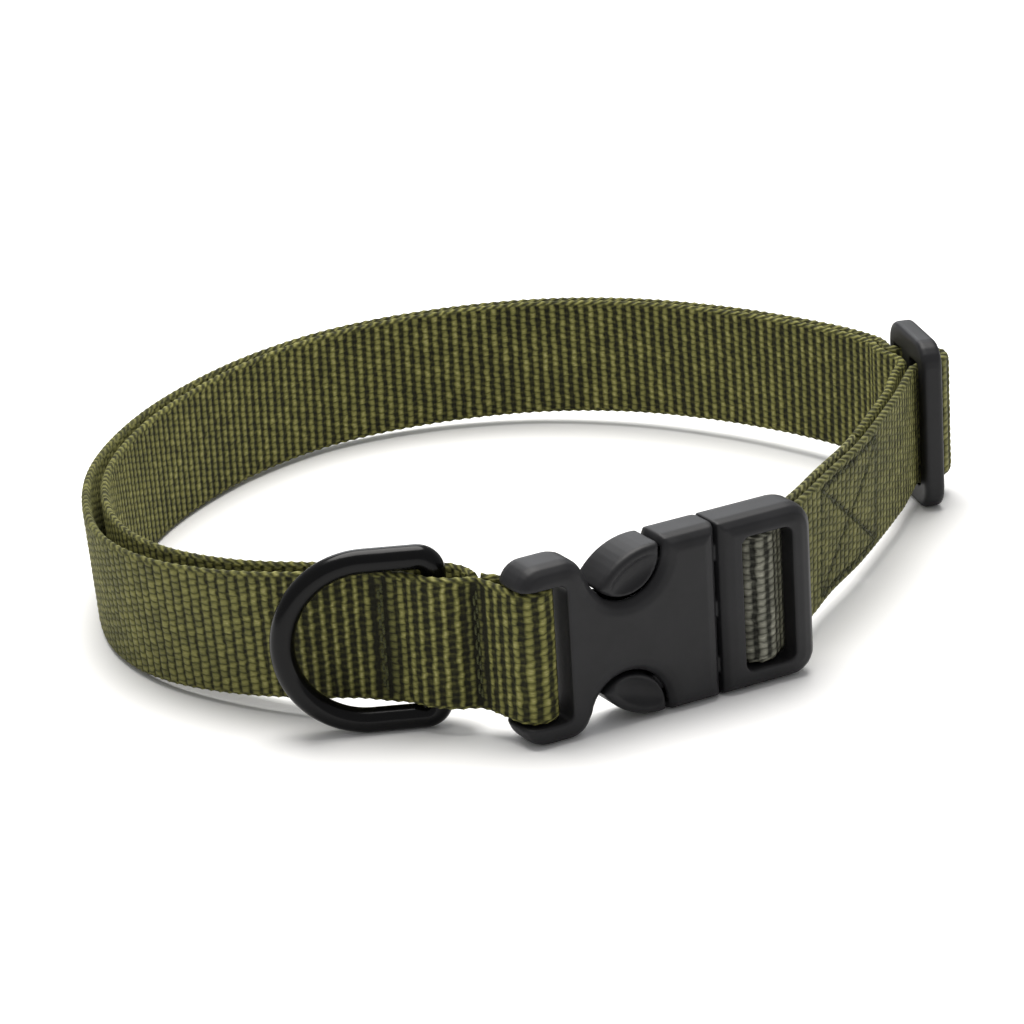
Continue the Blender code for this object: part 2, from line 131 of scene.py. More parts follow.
# x and y are shares of half the loop's width and depth, gap a share of the widest ply gap, lift a
# share of the front lift, lean a share of the widest lean.
around_rows = (
    # x, y, gap, lift, lean
    (-0.308, -0.798, 0.12, 1.00, 0.0),
    (-0.372, -0.764, 0.35, 0.98, 0.2),
    (-0.455, -0.724, 0.75, 0.84, 0.7),
    (-0.631, -0.629, 0.95, 0.49, 1.0),
    (-0.788, -0.501, 1.00, 0.22, 1.0),
    (-0.894, -0.342, 0.80, 0.06, 0.9),
    (-0.950, -0.144, 0.50, 0.00, 0.7),
    (-0.955, 0.070, 0.40, 0.00, 0.6),
    (-0.903, 0.312, 0.34, 0.01, 0.3),
    (-0.813, 0.512, 0.30, 0.07, 0.0),
    (-0.661, 0.720, 0.18, 0.15, -0.2),
    (-0.469, 0.876, 0.12, 0.21, -0.3),
    (-0.235, 0.958, 0.12, 0.33, -0.4),
    (0.021, 0.968, 0.12, 0.51, -0.5),
    (0.266, 0.902, 0.12, 0.68, -0.5),
    (0.487, 0.779, 0.12, 0.79, -0.4),
    (0.662, 0.639, 0.12, 0.86, -0.2),
    (0.748, 0.552, 0.18, 0.89, 0.0),
)
stretch_rows = (
    # x, y, gap, lift, lean
    (0.826, 0.099, 0.12, 0.94, 0.1),
    (0.775, -0.027, 0.12, 0.95, 0.3),
    (0.692, -0.217, 0.12, 0.96, 0.6),
    (0.617, -0.363, 0.12, 0.97, 0.6),
    (0.572, -0.464, 0.12, 0.92, 0.3),
)


class Place:
    """A flat frame: along runs in the plan at an angle, out points away from the neck."""

    def __init__(self, x, y, z, angle):
        self.origin = Vector((x, y, z))
        self.along = Vector((math.cos(angle), math.sin(angle), 0.0))
        self.out = Vector((math.sin(angle), -math.cos(angle), 0.0))

    def point(self, along, height, out):
        return self.origin + along * self.along + out * self.out + Vector((0.0, 0.0, height))


def on_loop(x, y):
    """A place in the plan from shares of half the loop's width and depth."""
    return loop_middle_x + x * loop_width / 2, loop_middle_y + y * loop_depth / 2


buckle = Place(*on_loop(-0.0994, -0.952), buckle_z, buckle_angle)
slider = Place(*on_loop(0.9090, 0.198), slider_z, slider_angle)
ring = Place(*on_loop(-0.218, -0.813), ring_z, ring_angle)


def arc(cx, cy, radius, start, end, count):
    """Points along an arc between two angles in degrees."""
    angles = np.radians(np.linspace(start, end, count + 1))
    return [(cx + radius * math.cos(a), cy + radius * math.sin(a)) for a in angles]


def smooth_curve(knots, step):
    """A centripetal curve through rows of x, y and carried values, about one row a step."""
    knots = np.array(knots, float)
    knots = np.vstack([2 * knots[0] - knots[1], knots, 2 * knots[-1] - knots[-2]])
    rows = []
    for a, b, c, d in zip(knots, knots[1:], knots[2:], knots[3:]):
        t1 = math.sqrt(math.dist(a[:2], b[:2]))
        t2 = t1 + math.sqrt(math.dist(b[:2], c[:2]))
        t3 = t2 + math.sqrt(math.dist(c[:2], d[:2]))
        count = max(1, math.ceil(math.dist(b[:2], c[:2]) / step))
        for t in t1 + (t2 - t1) * np.arange(count) / count:
            ab = a * (t1 - t) / t1 + b * t / t1
            bc = b * (t2 - t) / (t2 - t1) + c * (t - t1) / (t2 - t1)
            cd = c * (t3 - t) / (t3 - t2) + d * (t - t2) / (t3 - t2)
            abc = ab * (t2 - t) / t2 + bc * t / t2
            bcd = bc * (t3 - t) / (t3 - t1) + cd * (t - t1) / (t3 - t1)
            rows.append(abc * (t2 - t) / (t2 - t1) + bcd * (t - t1) / (t2 - t1))
    rows.append(knots[-2])
    return np.array(rows)


def plan_normals(path):
    """Unit normals in the plan, to the left of the way that the path runs."""
    ahead = np.vstack([path[1:, :2], path[-1:, :2]])
    behind = np.vstack([path[:1, :2], path[:-1, :2]])
    along = ahead - behind
    along /= np.linalg.norm(along, axis=1)[:, None]
    return np.column_stack([-along[:, 1], along[:, 0]])


def between_plies(rows):
    """Rows of x, y, lift, lean and gap along the middle line of a table of shares."""
    knots = [(*on_loop(x, y), lift * lift_front, lean * lean_widest, gap * ply_gap_widest)
             for x, y, gap, lift, lean in rows]
    curve = smooth_curve(knots, 6 * mm)
    curve[:, 2] = np.maximum(curve[:, 2], 0.0)
    curve[:, 4] = np.maximum(curve[:, 4], ply_gap)
    return curve


def beside(curve, side):
    """One ply beside the middle line: side is 1 for the outer ply and -1 for the inner."""
    shift = side * (curve[:, 4] + webbing_thick) / 2
    ply = curve[:, :4].copy()
    ply[:, :2] += plan_normals(curve) * shift[:, None]
    return ply


def knots_in(place, spots, lift):
    """Upright knots of a ply at one lift, from spots along and out from a place."""
    rows = []
    for along, out in spots:
        spot = place.point(along, 0.0, out)
        rows.append((spot.x, spot.y, lift, 0.0))
    return np.array(rows)


around = between_plies(around_rows)
stretch = between_plies(stretch_rows)
fold_female = bar_radius_female + clearance + webbing_thick / 2
fold_male = bar_radius_male + clearance + webbing_thick / 2
beside_bar = clearance + webbing_thick / 2
turn_corner = beside_bar + 0.05 * mm
pinched = (ply_gap + webbing_thick) / 2
pocket_along = (ring.origin - buckle.point(bar_place_female, 0.0, 0.0)).xy.normalized()
pocket_out = Vector((-pocket_along.y, pocket_along.x))


def ring_pocket(side, start):
    """The ply beside the D-ring's straight bar, between the two rows of stitches."""
    away = (ring_wire + webbing_thick) / 2 + ring_play
    rows = []
    for place, distance in ((start, pinched), (-pocket_half / 2, away * pocket_shoulder), (0.0, away),
                            (pocket_half / 2, away * pocket_shoulder)):
        spot = ring.origin.xy + pocket_along * place + pocket_out * distance * side
        rows.append((spot.x, spot.y, lift_front, 0.0))
    return np.array(rows)


def female_fold():
    """The outer ply's fold round the socket half's bar, square to the line towards the pocket."""
    outward = pocket_along.dot(buckle.out.xy)
    onward = pocket_along.dot(buckle.along.xy)
    across = math.degrees(math.atan2(outward, onward)) - 90
    spots = [(bar_place_female + u, n) for u, n in arc(0, 0, fold_female, across - 180, across, 9)]
    return knots_in(buckle, spots, lift_buckle)


def male_fold():
    """The outer ply's fold round the plug half's bar, in over the end bar and out again."""
    corner_u = buckle_length - end_bar
    corner_n = buckle_thick / 2 - end_bar_thick
    leaving = corner_n - beside_bar - male_leaving
    spots = [(buckle_length, leaving)]
    spots += arc(corner_u, corner_n, turn_corner, 250, 225, 1)
    spots += [(bar_place_male + u, n) for u, n in arc(0, 0, fold_male, strap_turn_male, 270, 9)]
    spots += [(corner_u - 0.4 * mm, -fold_male - 0.2 * mm), (buckle_length, leaving - male_ply_step)]
    return knots_in(buckle, spots, lift_buckle)


def slider_weave():
    """The outer ply's way through the slider, with the loose bulge over the middle bar."""
    far_corner = slider_length - slider_end_bar
    spots = [(slider_length + 1.5 * mm, -beside_bar - 0.2 * mm)]
    spots += arc(far_corner, 0.0, turn_corner, 270, 190, 3)
    spots += arc(slider_length / 2, slider_loop_out, slider_loop, 0, 180, 10)
    spots += arc(slider_end_bar, 0.0, turn_corner, -10, -60, 2)
    return knots_in(slider, spots, lift_slider)


def inside_slider():
    """The inner ply's way past the slider, on the inner side of its bars."""
    spots = [(slider_length + 1.0 * mm, -3.6 * mm), (slider_length * 0.8, -3.4 * mm),
             (slider_length * 0.42, -1.5 * mm), (slider_length * 0.17, -4.5 * mm), (0.0, -6.4 * mm)]
    return knots_in(slider, spots, lift_slider)


def strap_ends():
    """The stretch's inner ply, cut where the strap's two ends meet."""
    inner = beside(stretch, -1)
    cut = round(tail_share * (len(inner) - 1))
    onward = inner[cut + 1] - inner[cut]
    tail_end = inner[cut] + onward * (tail_gap / np.linalg.norm(onward[:2]))
    return inner[:cut + 1], np.vstack([tail_end, inner[cut + 1:]])


def even_path(knots):
    """A ply's middle line at even steps, with the distance along it in the last column."""
    curve = smooth_curve(knots, 0.5 * mm)
    curve[:, 2] = np.maximum(curve[:, 2], 0.0)
    lengths = np.linalg.norm(np.diff(curve[:, :2], axis=0), axis=1)
    run = np.concatenate([[0.0], np.cumsum(lengths)])
    ribs = round(run[-1] / rib_pitch)
    stations = np.linspace(0.0, run[-1], ribs * rib_steps + 1)
    columns = [np.interp(stations, run, curve[:, i]) for i in range(4)]
    return np.column_stack([*columns, stations])


tail = strap_ends()[1][::-1].copy()
tail[:, 3] *= -1
outer_path = even_path(np.vstack([
    ring_pocket(-1, -pocket_half)[:1], female_fold(), ring_pocket(1, -pocket_half), beside(around, 1),
    slider_weave(), beside(stretch, 1), male_fold(), tail]))
inner_path = even_path(np.vstack([
    ring_pocket(-1, butt_gap - pocket_half), beside(around, -1), inside_slider(), strap_ends()[0]]))


def new_mesh(name, points, faces):
    mesh = bpy.data.meshes.new(name)
    mesh.from_pydata([tuple(p) for p in points], [], [tuple(f) for f in faces])
    mesh.update()
    return mesh


def new_object(name, data):
    item = bpy.data.objects.new(name, data)
    bpy.context.scene.collection.objects.link(item)
    return item


def piece(name, points, faces, material, body="collar"):
    """A smooth piece of the collar in its material, on the body that it moves with."""
    mesh = new_mesh(name, points, faces)
    mesh.shade_smooth()
    mesh.materials.append(material)
    item = new_object(name, mesh)
    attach(item, body)
    return item


def bands(base, rings, sides, closed=False):
    """Faces between rings of points, and from the last ring back to the first where closed."""
    faces = []
    for i in range(rings if closed else rings - 1):
        here = base + i * sides
        onward = base + (i + 1) % rings * sides
        for k in range(sides):
            after = (k + 1) % sides
            faces.append((here + k, here + after, onward + after, onward + k))
    return faces


def capped(base, rings, sides):
    """Faces of a closed skin over rings of points: its bands and both of its ends."""
    first = tuple(base + k for k in range(sides))
    last = tuple(base + (rings - 1) * sides + k for k in range(sides))
    return [*bands(base, rings, sides), first[::-1], last]


# Materials


def linear(code):
    """A linear colour from an sRGB hex value."""
    values = [int(code[i:i + 2], 16) / 255 for i in (1, 3, 5)]
    return (*[v / 12.92 if v <= 0.04045 else ((v + 0.055) / 1.055) ** 2.4 for v in values], 1.0)


class Finish:
    """A principled material whose nodes are added one at a time."""

    def __init__(self, name, colour, roughness, ior=1.5):
        self.material = bpy.data.materials.new(name)
        self.material.use_nodes = True
        self.material.diffuse_color = linear(colour)
        self.tree = self.material.node_tree
        self.shader = self.tree.nodes["Principled BSDF"]
        self.link(self.shader, {"Base Color": linear(colour), "Roughness": roughness, "IOR": ior})

    def link(self, node, inputs):
        for key, value in inputs.items():
            if isinstance(value, bpy.types.Node):
                value = value.outputs[0]
            if isinstance(value, bpy.types.NodeSocket):
                self.tree.links.new(value, node.inputs[key])
            else:
                node.inputs[key].default_value = value

    def add(self, kind, settings, *ordered, **named):
        """Adds a node with its settings; its inputs, in order or by name, are values or nodes."""
        node = self.tree.nodes.new("ShaderNode" + kind)
        stops = settings.pop("stops", ())
        for key, value in settings.items():
            setattr(node, key, value)
        for _ in stops[2:]:
            node.color_ramp.elements.new(0.5)
        for k, (place, code) in enumerate(stops):
            node.color_ramp.elements[k].position = place
            node.color_ramp.elements[k].color = linear(code)
        self.link(node, dict(enumerate(ordered)))
        self.link(node, named)
        return node


def woven_nylon():
    """Woven nylon webbing: painted highlight on the yarns' crowns, painted shade where they dive between
    ribs.
    """
    web = Finish("woven_nylon_webbing", "#4d5029", 0.8, 1.53)
    weave = web.add("Attribute", {"attribute_name": "weave"}).outputs["Vector"]
    state = web.add("Attribute", {"attribute_name": "state"}).outputs["Vector"]
    # Hand of the weave: beads wander by about a tenth of a rib
    wander = web.add("TexNoise", {}, Vector=weave, Scale=0.9, Detail=1.0).outputs["Color"]
    reach = (0.34, 0.7, 0.0)
    middle = (-0.17, -0.35, 0.0)
    wander = web.add("VectorMath", {"operation": "MULTIPLY_ADD"}, wander, reach, middle)
    moved = web.add("VectorMath", {"operation": "ADD"}, weave, wander)
    # x counts ribs along the ply and y beads up it, and each rib starts half a bead off the last
    x, y, spread = web.add("SeparateXYZ", {}, moved).outputs
    stitch_dent_shade, grey, _ = web.add("SeparateXYZ", {}, state).outputs
    rib = web.add("Math", {"operation": "ROUND"}, x)
    beside_rib = web.add("Math", {"operation": "SUBTRACT"}, x, rib)
    across = web.add("Math", {"operation": "ABSOLUTE"}, beside_rib)
    row = web.add("Math", {"operation": "MULTIPLY_ADD"}, rib, 0.5, y)
    bead = web.add("Math", {"operation": "ROUND"}, row)
    beside_bead = web.add("Math", {"operation": "SUBTRACT"}, row, bead)
    along = web.add("Math", {"operation": "ABSOLUTE"}, beside_bead)
    width = web.add("Math", {"operation": "MULTIPLY_ADD"}, spread, 0.20, 0.30)
    share = web.add("Math", {"operation": "DIVIDE"}, across, width)
    square = web.add("Math", {"operation": "MULTIPLY_ADD"}, spread, 4.0, 1.8)
    fall = web.add("Math", {"operation": "POWER"}, share, square)
    ridge = web.add("Math", {"operation": "SUBTRACT", "use_clamp": True}, 1.0, fall)
    from_middle = web.add("Math", {"operation": "MULTIPLY"}, along, 2.0)
    pit = web.add("Math", {"operation": "POWER"}, from_middle, 2.6)
    depth = web.add("Math", {"operation": "MULTIPLY_ADD"}, spread, -0.35, -0.42)
    held = web.add("Math", {"operation": "MULTIPLY_ADD"}, pit, depth, 1.0)
    crown = web.add("Math", {"operation": "MULTIPLY"}, ridge, held)
    # In the valleys a rung of yarn shows between each two pits
    valley = web.add("Math", {"operation": "FLOOR"}, x)
    rung = web.add("Math", {"operation": "MULTIPLY_ADD"}, valley, math.pi, math.pi / 2)
    rung = web.add("Math", {"operation": "MULTIPLY_ADD"}, y, 2 * math.pi, rung)
    rung = web.add("Math", {"operation": "COSINE"}, rung)
    rung = web.add("Math", {"operation": "MULTIPLY_ADD"}, rung, 0.19, 0.06)
    open_valley = web.add("Math", {"operation": "SUBTRACT"}, 1.0, ridge)
    crown = web.add("Math", {"operation": "MULTIPLY_ADD"}, open_valley, rung, crown)
    # The selvedge is a twisted edge: slanting strands, one to a rib
    from_top = web.add("Math", {"operation": "SUBTRACT"}, float(bead_rows), y)
    edge = web.add("Math", {"operation": "MINIMUM"}, y, from_top)
    slant = web.add("Math", {"operation": "ADD"}, x, edge)
    turn = web.add("Math", {"operation": "MULTIPLY"}, slant, 2 * math.pi)
    wave = web.add("Math", {"operation": "COSINE"}, turn)
    strand = web.add("Math", {"operation": "MULTIPLY_ADD"}, wave, 0.42, 0.5)
    at_edge = web.add("Math", {"operation": "MULTIPLY_ADD", "use_clamp": True}, edge, -3.0, 2.0)
    change = web.add("Math", {"operation": "SUBTRACT"}, strand, crown)
    crown = web.add("Math", {"operation": "MULTIPLY_ADD"}, change, at_edge, crown)
    # Filaments of about 0.03 mm lie along each yarn, drawn 0.3 by 0.7 mm so that they show
    stretched = web.add("VectorMath", {"operation": "MULTIPLY"}, weave, (3.0, 4.6, 0.0))
    fibre = web.add("TexNoise", {}, Vector=stretched, Scale=1.0, Detail=2.5)
    cell = web.add("CombineXYZ", {}, rib, bead)
    shade = web.add("TexWhiteNoise", {}, cell)
    spot = web.add("TexCoord", {}).outputs["Object"]
    # Rubbed and dusty patches, about 9 mm wide
    patch = web.add("TexNoise", {}, Vector=spot, Scale=1 / (9 * mm), Detail=3.0)
    # The weave's height is painted into the tone: painted highlight on the crowns, painted shade in the
    # pits and valleys
    contrast = web.add("Math", {"operation": "MULTIPLY_ADD"}, spread, -0.34, 0.80)
    level = web.add("Math", {"operation": "MULTIPLY_ADD"}, spread, 0.11, -0.32)
    tone = web.add("Math", {"operation": "MULTIPLY_ADD"}, crown, contrast, level)
    tone = web.add("Math", {"operation": "MULTIPLY_ADD"}, fibre, 0.42, tone)
    tone = web.add("Math", {"operation": "MULTIPLY_ADD"}, shade, 0.18, tone)
    tone = web.add("Math", {"operation": "MULTIPLY_ADD"}, patch, 0.22, tone)
    # Painted shade in the dents that the stitches pull into the ply
    tone = web.add("Math", {"operation": "MULTIPLY_ADD", "use_clamp": True}, stitch_dent_shade, -0.38, tone)
    stops = ((0.0, "#131307"), (0.22, "#292910"), (0.5, "#4e4e26"), (0.8, "#77753e"), (1.0, "#9b9760"))
    # The dye's colour with the weave's painted highlight and painted shade in it
    dyed_and_shaded = web.add("ValToRGB", {"stops": stops}, tone)
    faded = web.add("Math", {"operation": "MULTIPLY_ADD"}, grey, -0.8, 1.0)
    lighter = web.add("Math", {"operation": "MULTIPLY_ADD"}, grey, 0.22, 1.0)
    colour = web.add("HueSaturation", {}, Saturation=faded, Value=lighter, Color=dyed_and_shaded)
    rough = web.add("Math", {"operation": "MULTIPLY_ADD"}, crown, -0.14, 0.86)
    threads = web.add("Bump", {}, Height=fibre, Distance=0.10 * mm)
    mound = web.add("Bump", {}, Height=crown, Distance=0.20 * mm, Normal=threads)
    web.link(web.shader, {
        "Base Color": colour, "Roughness": rough, "Normal": mound, "Specular IOR Level": 0.22,
        "Sheen Weight": 0.10, "Sheen Roughness": 0.5, "Sheen Tint": linear("#a9ac74")})
    return web.material


def stitch_thread():
    """Twisted polyester sewing thread, darker than the webbing and pulled down into it."""
    thread = Finish("twisted_polyester_thread", "#33361a", 0.7, 1.54)
    spot = thread.add("TexCoord", {}).outputs["Object"]
    # Twist of about 0.3 mm
    twist = thread.add("TexNoise", {}, Vector=spot, Scale=1 / (0.3 * mm), Detail=1.0)
    colour = thread.add("ValToRGB", {"stops": ((0.3, "#1f2110"), (0.7, "#4a4d29"))}, twist)
    relief = thread.add("Bump", {}, Height=twist, Distance=0.05 * mm)
    thread.link(thread.shader, {"Base Color": colour, "Normal": relief, "Specular IOR Level": 0.3})
    return thread.material


def moulded_acetal():
    """Moulded black acetal: charcoal, satin, with a fine spark-eroded grain and rubbed patches."""
    acetal = Finish("moulded_black_acetal", "#1e1e20", 0.48, 1.48)
    spot = acetal.add("TexCoord", {}).outputs["Object"]
    # Grain of the mould, really about 0.05 mm, drawn at 0.18 mm so that it shows
    grain = acetal.add("TexNoise", {}, Vector=spot, Scale=1 / (0.18 * mm), Detail=2.0)
    # Rubbed patches, about 7 mm wide
    rubbed = acetal.add("TexNoise", {}, Vector=spot, Scale=1 / (7 * mm), Detail=4.0)
    colour = acetal.add("ValToRGB", {"stops": ((0.3, "#19191b"), (0.7, "#212123"))}, rubbed)
    rough = acetal.add("Math", {"operation": "MULTIPLY_ADD"}, rubbed, 0.14, 0.40)
    relief = acetal.add("Bump", {}, Height=grain, Distance=0.012 * mm)
    acetal.link(acetal.shader, {
        "Base Color": colour, "Roughness": rough, "Normal": relief, "Specular IOR Level": 0.26})
    return acetal.material


def coated_wire():
    """Steel wire with a black dipped coat: smooth, satin gloss, with soft dents from the dip."""
    coat = Finish("black_dip_coated_steel_wire", "#070708", 0.2, 1.5)
    spot = coat.add("TexCoord", {}).outputs["Object"]
    # The dents are about 2.5 mm apart
    dents = coat.add("TexNoise", {}, Vector=spot, Scale=1 / (2.5 * mm), Detail=3.0)
    rough = coat.add("Math", {"operation": "MULTIPLY_ADD"}, dents, 0.10, 0.14)
    relief = coat.add("Bump", {}, Height=dents, Distance=0.02 * mm)
    coat.link(coat.shader, {"Roughness": rough, "Normal": relief, "Specular IOR Level": 0.17})
    return coat.material


# Stitch lines, as pairs of (distance along a ply, height up it)


def run_near(path, x, y, low, high):
    """The distance along a path where it passes nearest to a place in the plan."""
    window = path[int(low * len(path)):int(high * len(path))]
    return window[np.argmin(np.hypot(window[:, 0] - x, window[:, 1] - y)), 4]


# Parts of the outer ply, as shares of its length, where the pocket and the box are
near_pocket = (0.03, 0.2)
near_box = (0.6, 0.9)
low_edge = stitch_margin
high_edge = webbing_width - stitch_margin
row_one = ring.origin.xy - pocket_along * pocket_half + pocket_out * pinched
row_two = ring.origin.xy + pocket_along * pocket_half * second_row_share + pocket_out * pinched
pocket_lines = []
for spot in (row_one, row_two):
    place = run_near(outer_path, *spot, *near_pocket)
    up_line = place - twin_gap / 2
    down_line = place + twin_gap / 2
    pocket_lines.append(((up_line, low_edge), (up_line, high_edge)))
    # The second line of each row stops a little short at both ends
    pocket_lines.append(((down_line, high_edge - 1.0 * mm), (down_line, low_edge + 0.6 * mm)))
box_start = run_near(outer_path, *box_start_place, *near_box)
box_end = run_near(outer_path, *box_end_place, *near_box)
corners = [(box_start, low_edge), (box_start, high_edge), (box_end, high_edge), (box_end, low_edge)]
# Four sides of the box, and its cross
box_lines = [(corners[a], corners[b]) for a, b in ((0, 1), (1, 2), (2, 3), (3, 0), (0, 2), (1, 3))]


# Webbing


def line_closeness(runs, heights, lines, width):
    """From 0 to 1 on a grid of places on a ply: 1 on a stitch line and 0 well away from it."""
    close = np.zeros((len(runs), len(heights)))
    for start, end in lines:
        start = np.array(start)
        way = np.array(end) - start
        dx = runs[:, None] - start[0]
        dy = heights[None, :] - start[1]
        share = np.clip((dx * way[0] + dy * way[1]) / (way @ way), 0, 1)
        distance = np.hypot(dx - share * way[0], dy - share * way[1])
        close = np.maximum(close, np.exp(-(distance / width) ** 2))
    return close


def weave_relief(x, heights, spread):
    """Height of the weave from 0 to 1 on a grid of ribs along by heights across."""
    rib = np.round(x)
    # Half a rib's width as a share of the pitch: ribs that spread all the way meet
    width = 0.34 + 0.16 * spread
    ridge = np.clip(1 - (np.abs(x - rib) / width) ** 2, 0, 1)
    row = heights[None, :] / bead_pitch + 0.5 * rib[:, None]
    bead = 1 - bead_dip * (2 * np.abs(row - np.round(row))) ** 2
    # No two beads are quite the same height
    sizes = 40
    uneven = rng.uniform(0.82, 1.1, (int(rib.max()) + 2, sizes))
    size = uneven[rib.astype(int)[:, None], np.round(row).astype(int) % sizes]
    relief = ridge[:, None] * bead * size * (1 - 0.35 * spread[:, None])
    edge = np.minimum(heights, webbing_width - heights)[None, :]
    strand = 0.5 + 0.5 * np.cos(2 * np.pi * (x[:, None] + edge / bead_pitch))
    at_edge = np.clip(2.0 - 3.0 * edge / bead_pitch, 0, 1)
    return relief + at_edge * (strand - relief)


def webbing(name, path, face_side, spreads, greys, rows, box, node):
    """A woven ply: beads on the side that shows, a plain back and twisted selvedges."""
    x = path[:, 4] / (path[-1, 4] / round(path[-1, 4] / rib_pitch))
    spread = np.interp(path[:, 4] / mm, *zip(*spreads))
    fine = np.linspace(0.0, webbing_width, bead_rows * bead_steps + 1)
    heights = np.concatenate([fine, back_rows])
    count = len(heights)
    face = len(fine)
    relief = weave_relief(x, fine, spread)
    sunk_row = line_closeness(path[:, 4], fine, rows, row_dent)
    sunk_box = line_closeness(path[:, 4], fine, box, box_dent)
    edge = np.minimum(heights, webbing_width - heights)
    half = webbing_thick / 2 * np.sqrt(np.clip(1 - np.clip(1 - edge / selvedge, 0, 1) ** 2, 0.12, 1))
    offset = np.empty((len(path), count))
    offset[:, :face] = half[:face] - bead_root
    offset[:, :face] += bead_relief * relief * np.clip(edge[:face] / selvedge, 0.5, 1)
    offset[:, :face] -= row_sink * sunk_row + box_sink * sunk_box
    offset[:, face:] = -half[face:]
    offset *= face_side
    # The selvedge stands out a little at each strand
    up = np.repeat(heights[None, :], len(path), axis=0)
    swell = strand_swell * (0.5 - 0.5 * np.cos(2 * np.pi * x))
    for column, side in ((0, 1), (count - 1, 1), (face - 1, -1), (face, -1)):
        up[:, column] += side * swell
    normals = plan_normals(path)
    out = offset + up * np.sin(path[:, 3])[:, None]
    points = np.empty((len(path), count, 3))
    points[:, :, 0] = path[:, 0, None] + normals[:, 0, None] * out
    points[:, :, 1] = path[:, 1, None] + normals[:, 1, None] * out
    points[:, :, 2] = path[:, 2, None] + up * np.cos(path[:, 3])[:, None]
    index = np.arange(len(path) * count).reshape(len(path), count)
    after = np.roll(index, -1, axis=1)
    quads = np.stack([index[:-1], after[:-1], after[1:], index[1:]], axis=-1).reshape(-1, 4)
    caps = [list(index[0])[::-1], list(index[-1])]
    if face_side < 0:
        quads = quads[:, ::-1]
        caps = [cap[::-1] for cap in caps]
    item = piece(name, points.reshape(-1, 3), [*quads.tolist(), *caps], nylon)
    # The webbing's material reads both: weave is ribs along, beads up and spread, and state is how
    # far a stitch pulls the ply down, painted as shade in the dent, and how grey the yarn is
    weave = np.zeros((len(path), count, 3), np.float32)
    weave[:, :, 0] = x[:, None]
    weave[:, :, 1] = (heights / bead_pitch)[None, :]
    weave[:, :, 2] = spread[:, None]
    state = np.zeros((len(path), count, 3), np.float32)
    state[:, :face, 0] = np.maximum(sunk_row, sunk_box)
    state[:, :, 1] = np.interp(path[:, 4] / mm, *zip(*greys))[:, None]
    for label, values in (("weave", weave), ("state", state)):
        attribute = item.data.attributes.new(label, "FLOAT_VECTOR", "POINT")
        attribute.data.foreach_set("vector", values.ravel())
    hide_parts(node)


nylon = woven_nylon()
thread = stitch_thread()
acetal = moulded_acetal()
coat = coated_wire()

# Along each ply, how far the beads spread: (mm along, from 0 for narrow cords to 1 for flat dashes)
outer_spreads = (
    (0, 0.3), (24, 0.15), (31, 0.0), (42, 0.0), (45, 0.35), (49, 0.35), (53, -0.02), (67, -0.02),
    (75, 0.5), (92, 0.7), (112, 1.0), (175, 0.95), (230, 0.45), (410, 0.4), (422, 0.4), (440, 0.85),
    (478, 0.85), (500, 0.35), (530, 0.35))
inner_spreads = ((0, 0.5), (110, 0.6), (170, 0.25), (330, 0.15), (390, 0.4))
# The fold through the buckle's window is of a greyer stretch of the webbing: (mm along, how grey)
outer_greys = ((0, 0), (482, 0.1), (494, 0.9), (508, 0.9), (525, 0.2))
inner_greys = ((0, 0), (390, 0))

webbing("outer_webbing", outer_path, 1, outer_spreads, outer_greys,
        pocket_lines, box_lines, "webbing_outer")
webbing("inner_webbing", inner_path, -1, inner_spreads, inner_greys, [], [], "webbing_inner")


# Stitches


def surface(path, run, height):
    """A point on a ply's outer face and the way out of it."""
    i = int(np.clip(np.searchsorted(path[:, 4], run), 1, len(path) - 2))
    spot = path[i]
    normal = plan_normals(path[i - 1:i + 2])[1]
    out = webbing_thick / 2 + height * math.sin(spot[3])
    rise = height * math.cos(spot[3])
    point = Vector((spot[0] + normal[0] * out, spot[1] + normal[1] * out, spot[2] + rise))
    return point, Vector((normal[0], normal[1], 0.0))


def stitches(name, path, lines, sink):
    """Short threads along lines on a ply's outer face, each dipping in at its ends."""
    stitch = 2.3 * mm
    gap = 0.5 * mm
    radius = 0.26 * mm
    proud = 0.05 * mm
    end_dip = 0.45 * mm
    sides = 8
    rings = 7
    points = []
    faces = []
    for start, end in lines:
        start = np.array(start)
        way = np.array(end) - start
        count = max(1, round(np.linalg.norm(way) / (stitch + gap)))
        for k in range(count):
            base = len(points)
            centres = []
            for j in range(rings):
                t = 2 * j / (rings - 1) - 1
                run, height = start + way * (k + 0.5 + t / 2 * stitch / (stitch + gap)) / count
                point, out = surface(path, run, height)
                centres.append((point + out * (proud - sink - end_dip * t ** 4), out, t))
            for j, (centre, out, t) in enumerate(centres):
                ahead = centres[min(j + 1, rings - 1)][0] - centres[max(j - 1, 0)][0]
                across = ahead.cross(out).normalized()
                thin = radius * math.sqrt(max(0.05, 1 - t ** 4))
                for s in range(sides):
                    angle = 2 * math.pi * s / sides
                    round_it = across * math.cos(angle) + out * math.sin(angle)
                    points.append(centre + round_it * thin)
            faces += capped(base, rings, sides)
    piece(name, points, faces, thread)


stitches("pocket_stitches", outer_path, pocket_lines, row_sink)
stitches("box_stitches", outer_path, box_lines, box_sink)


# D-ring


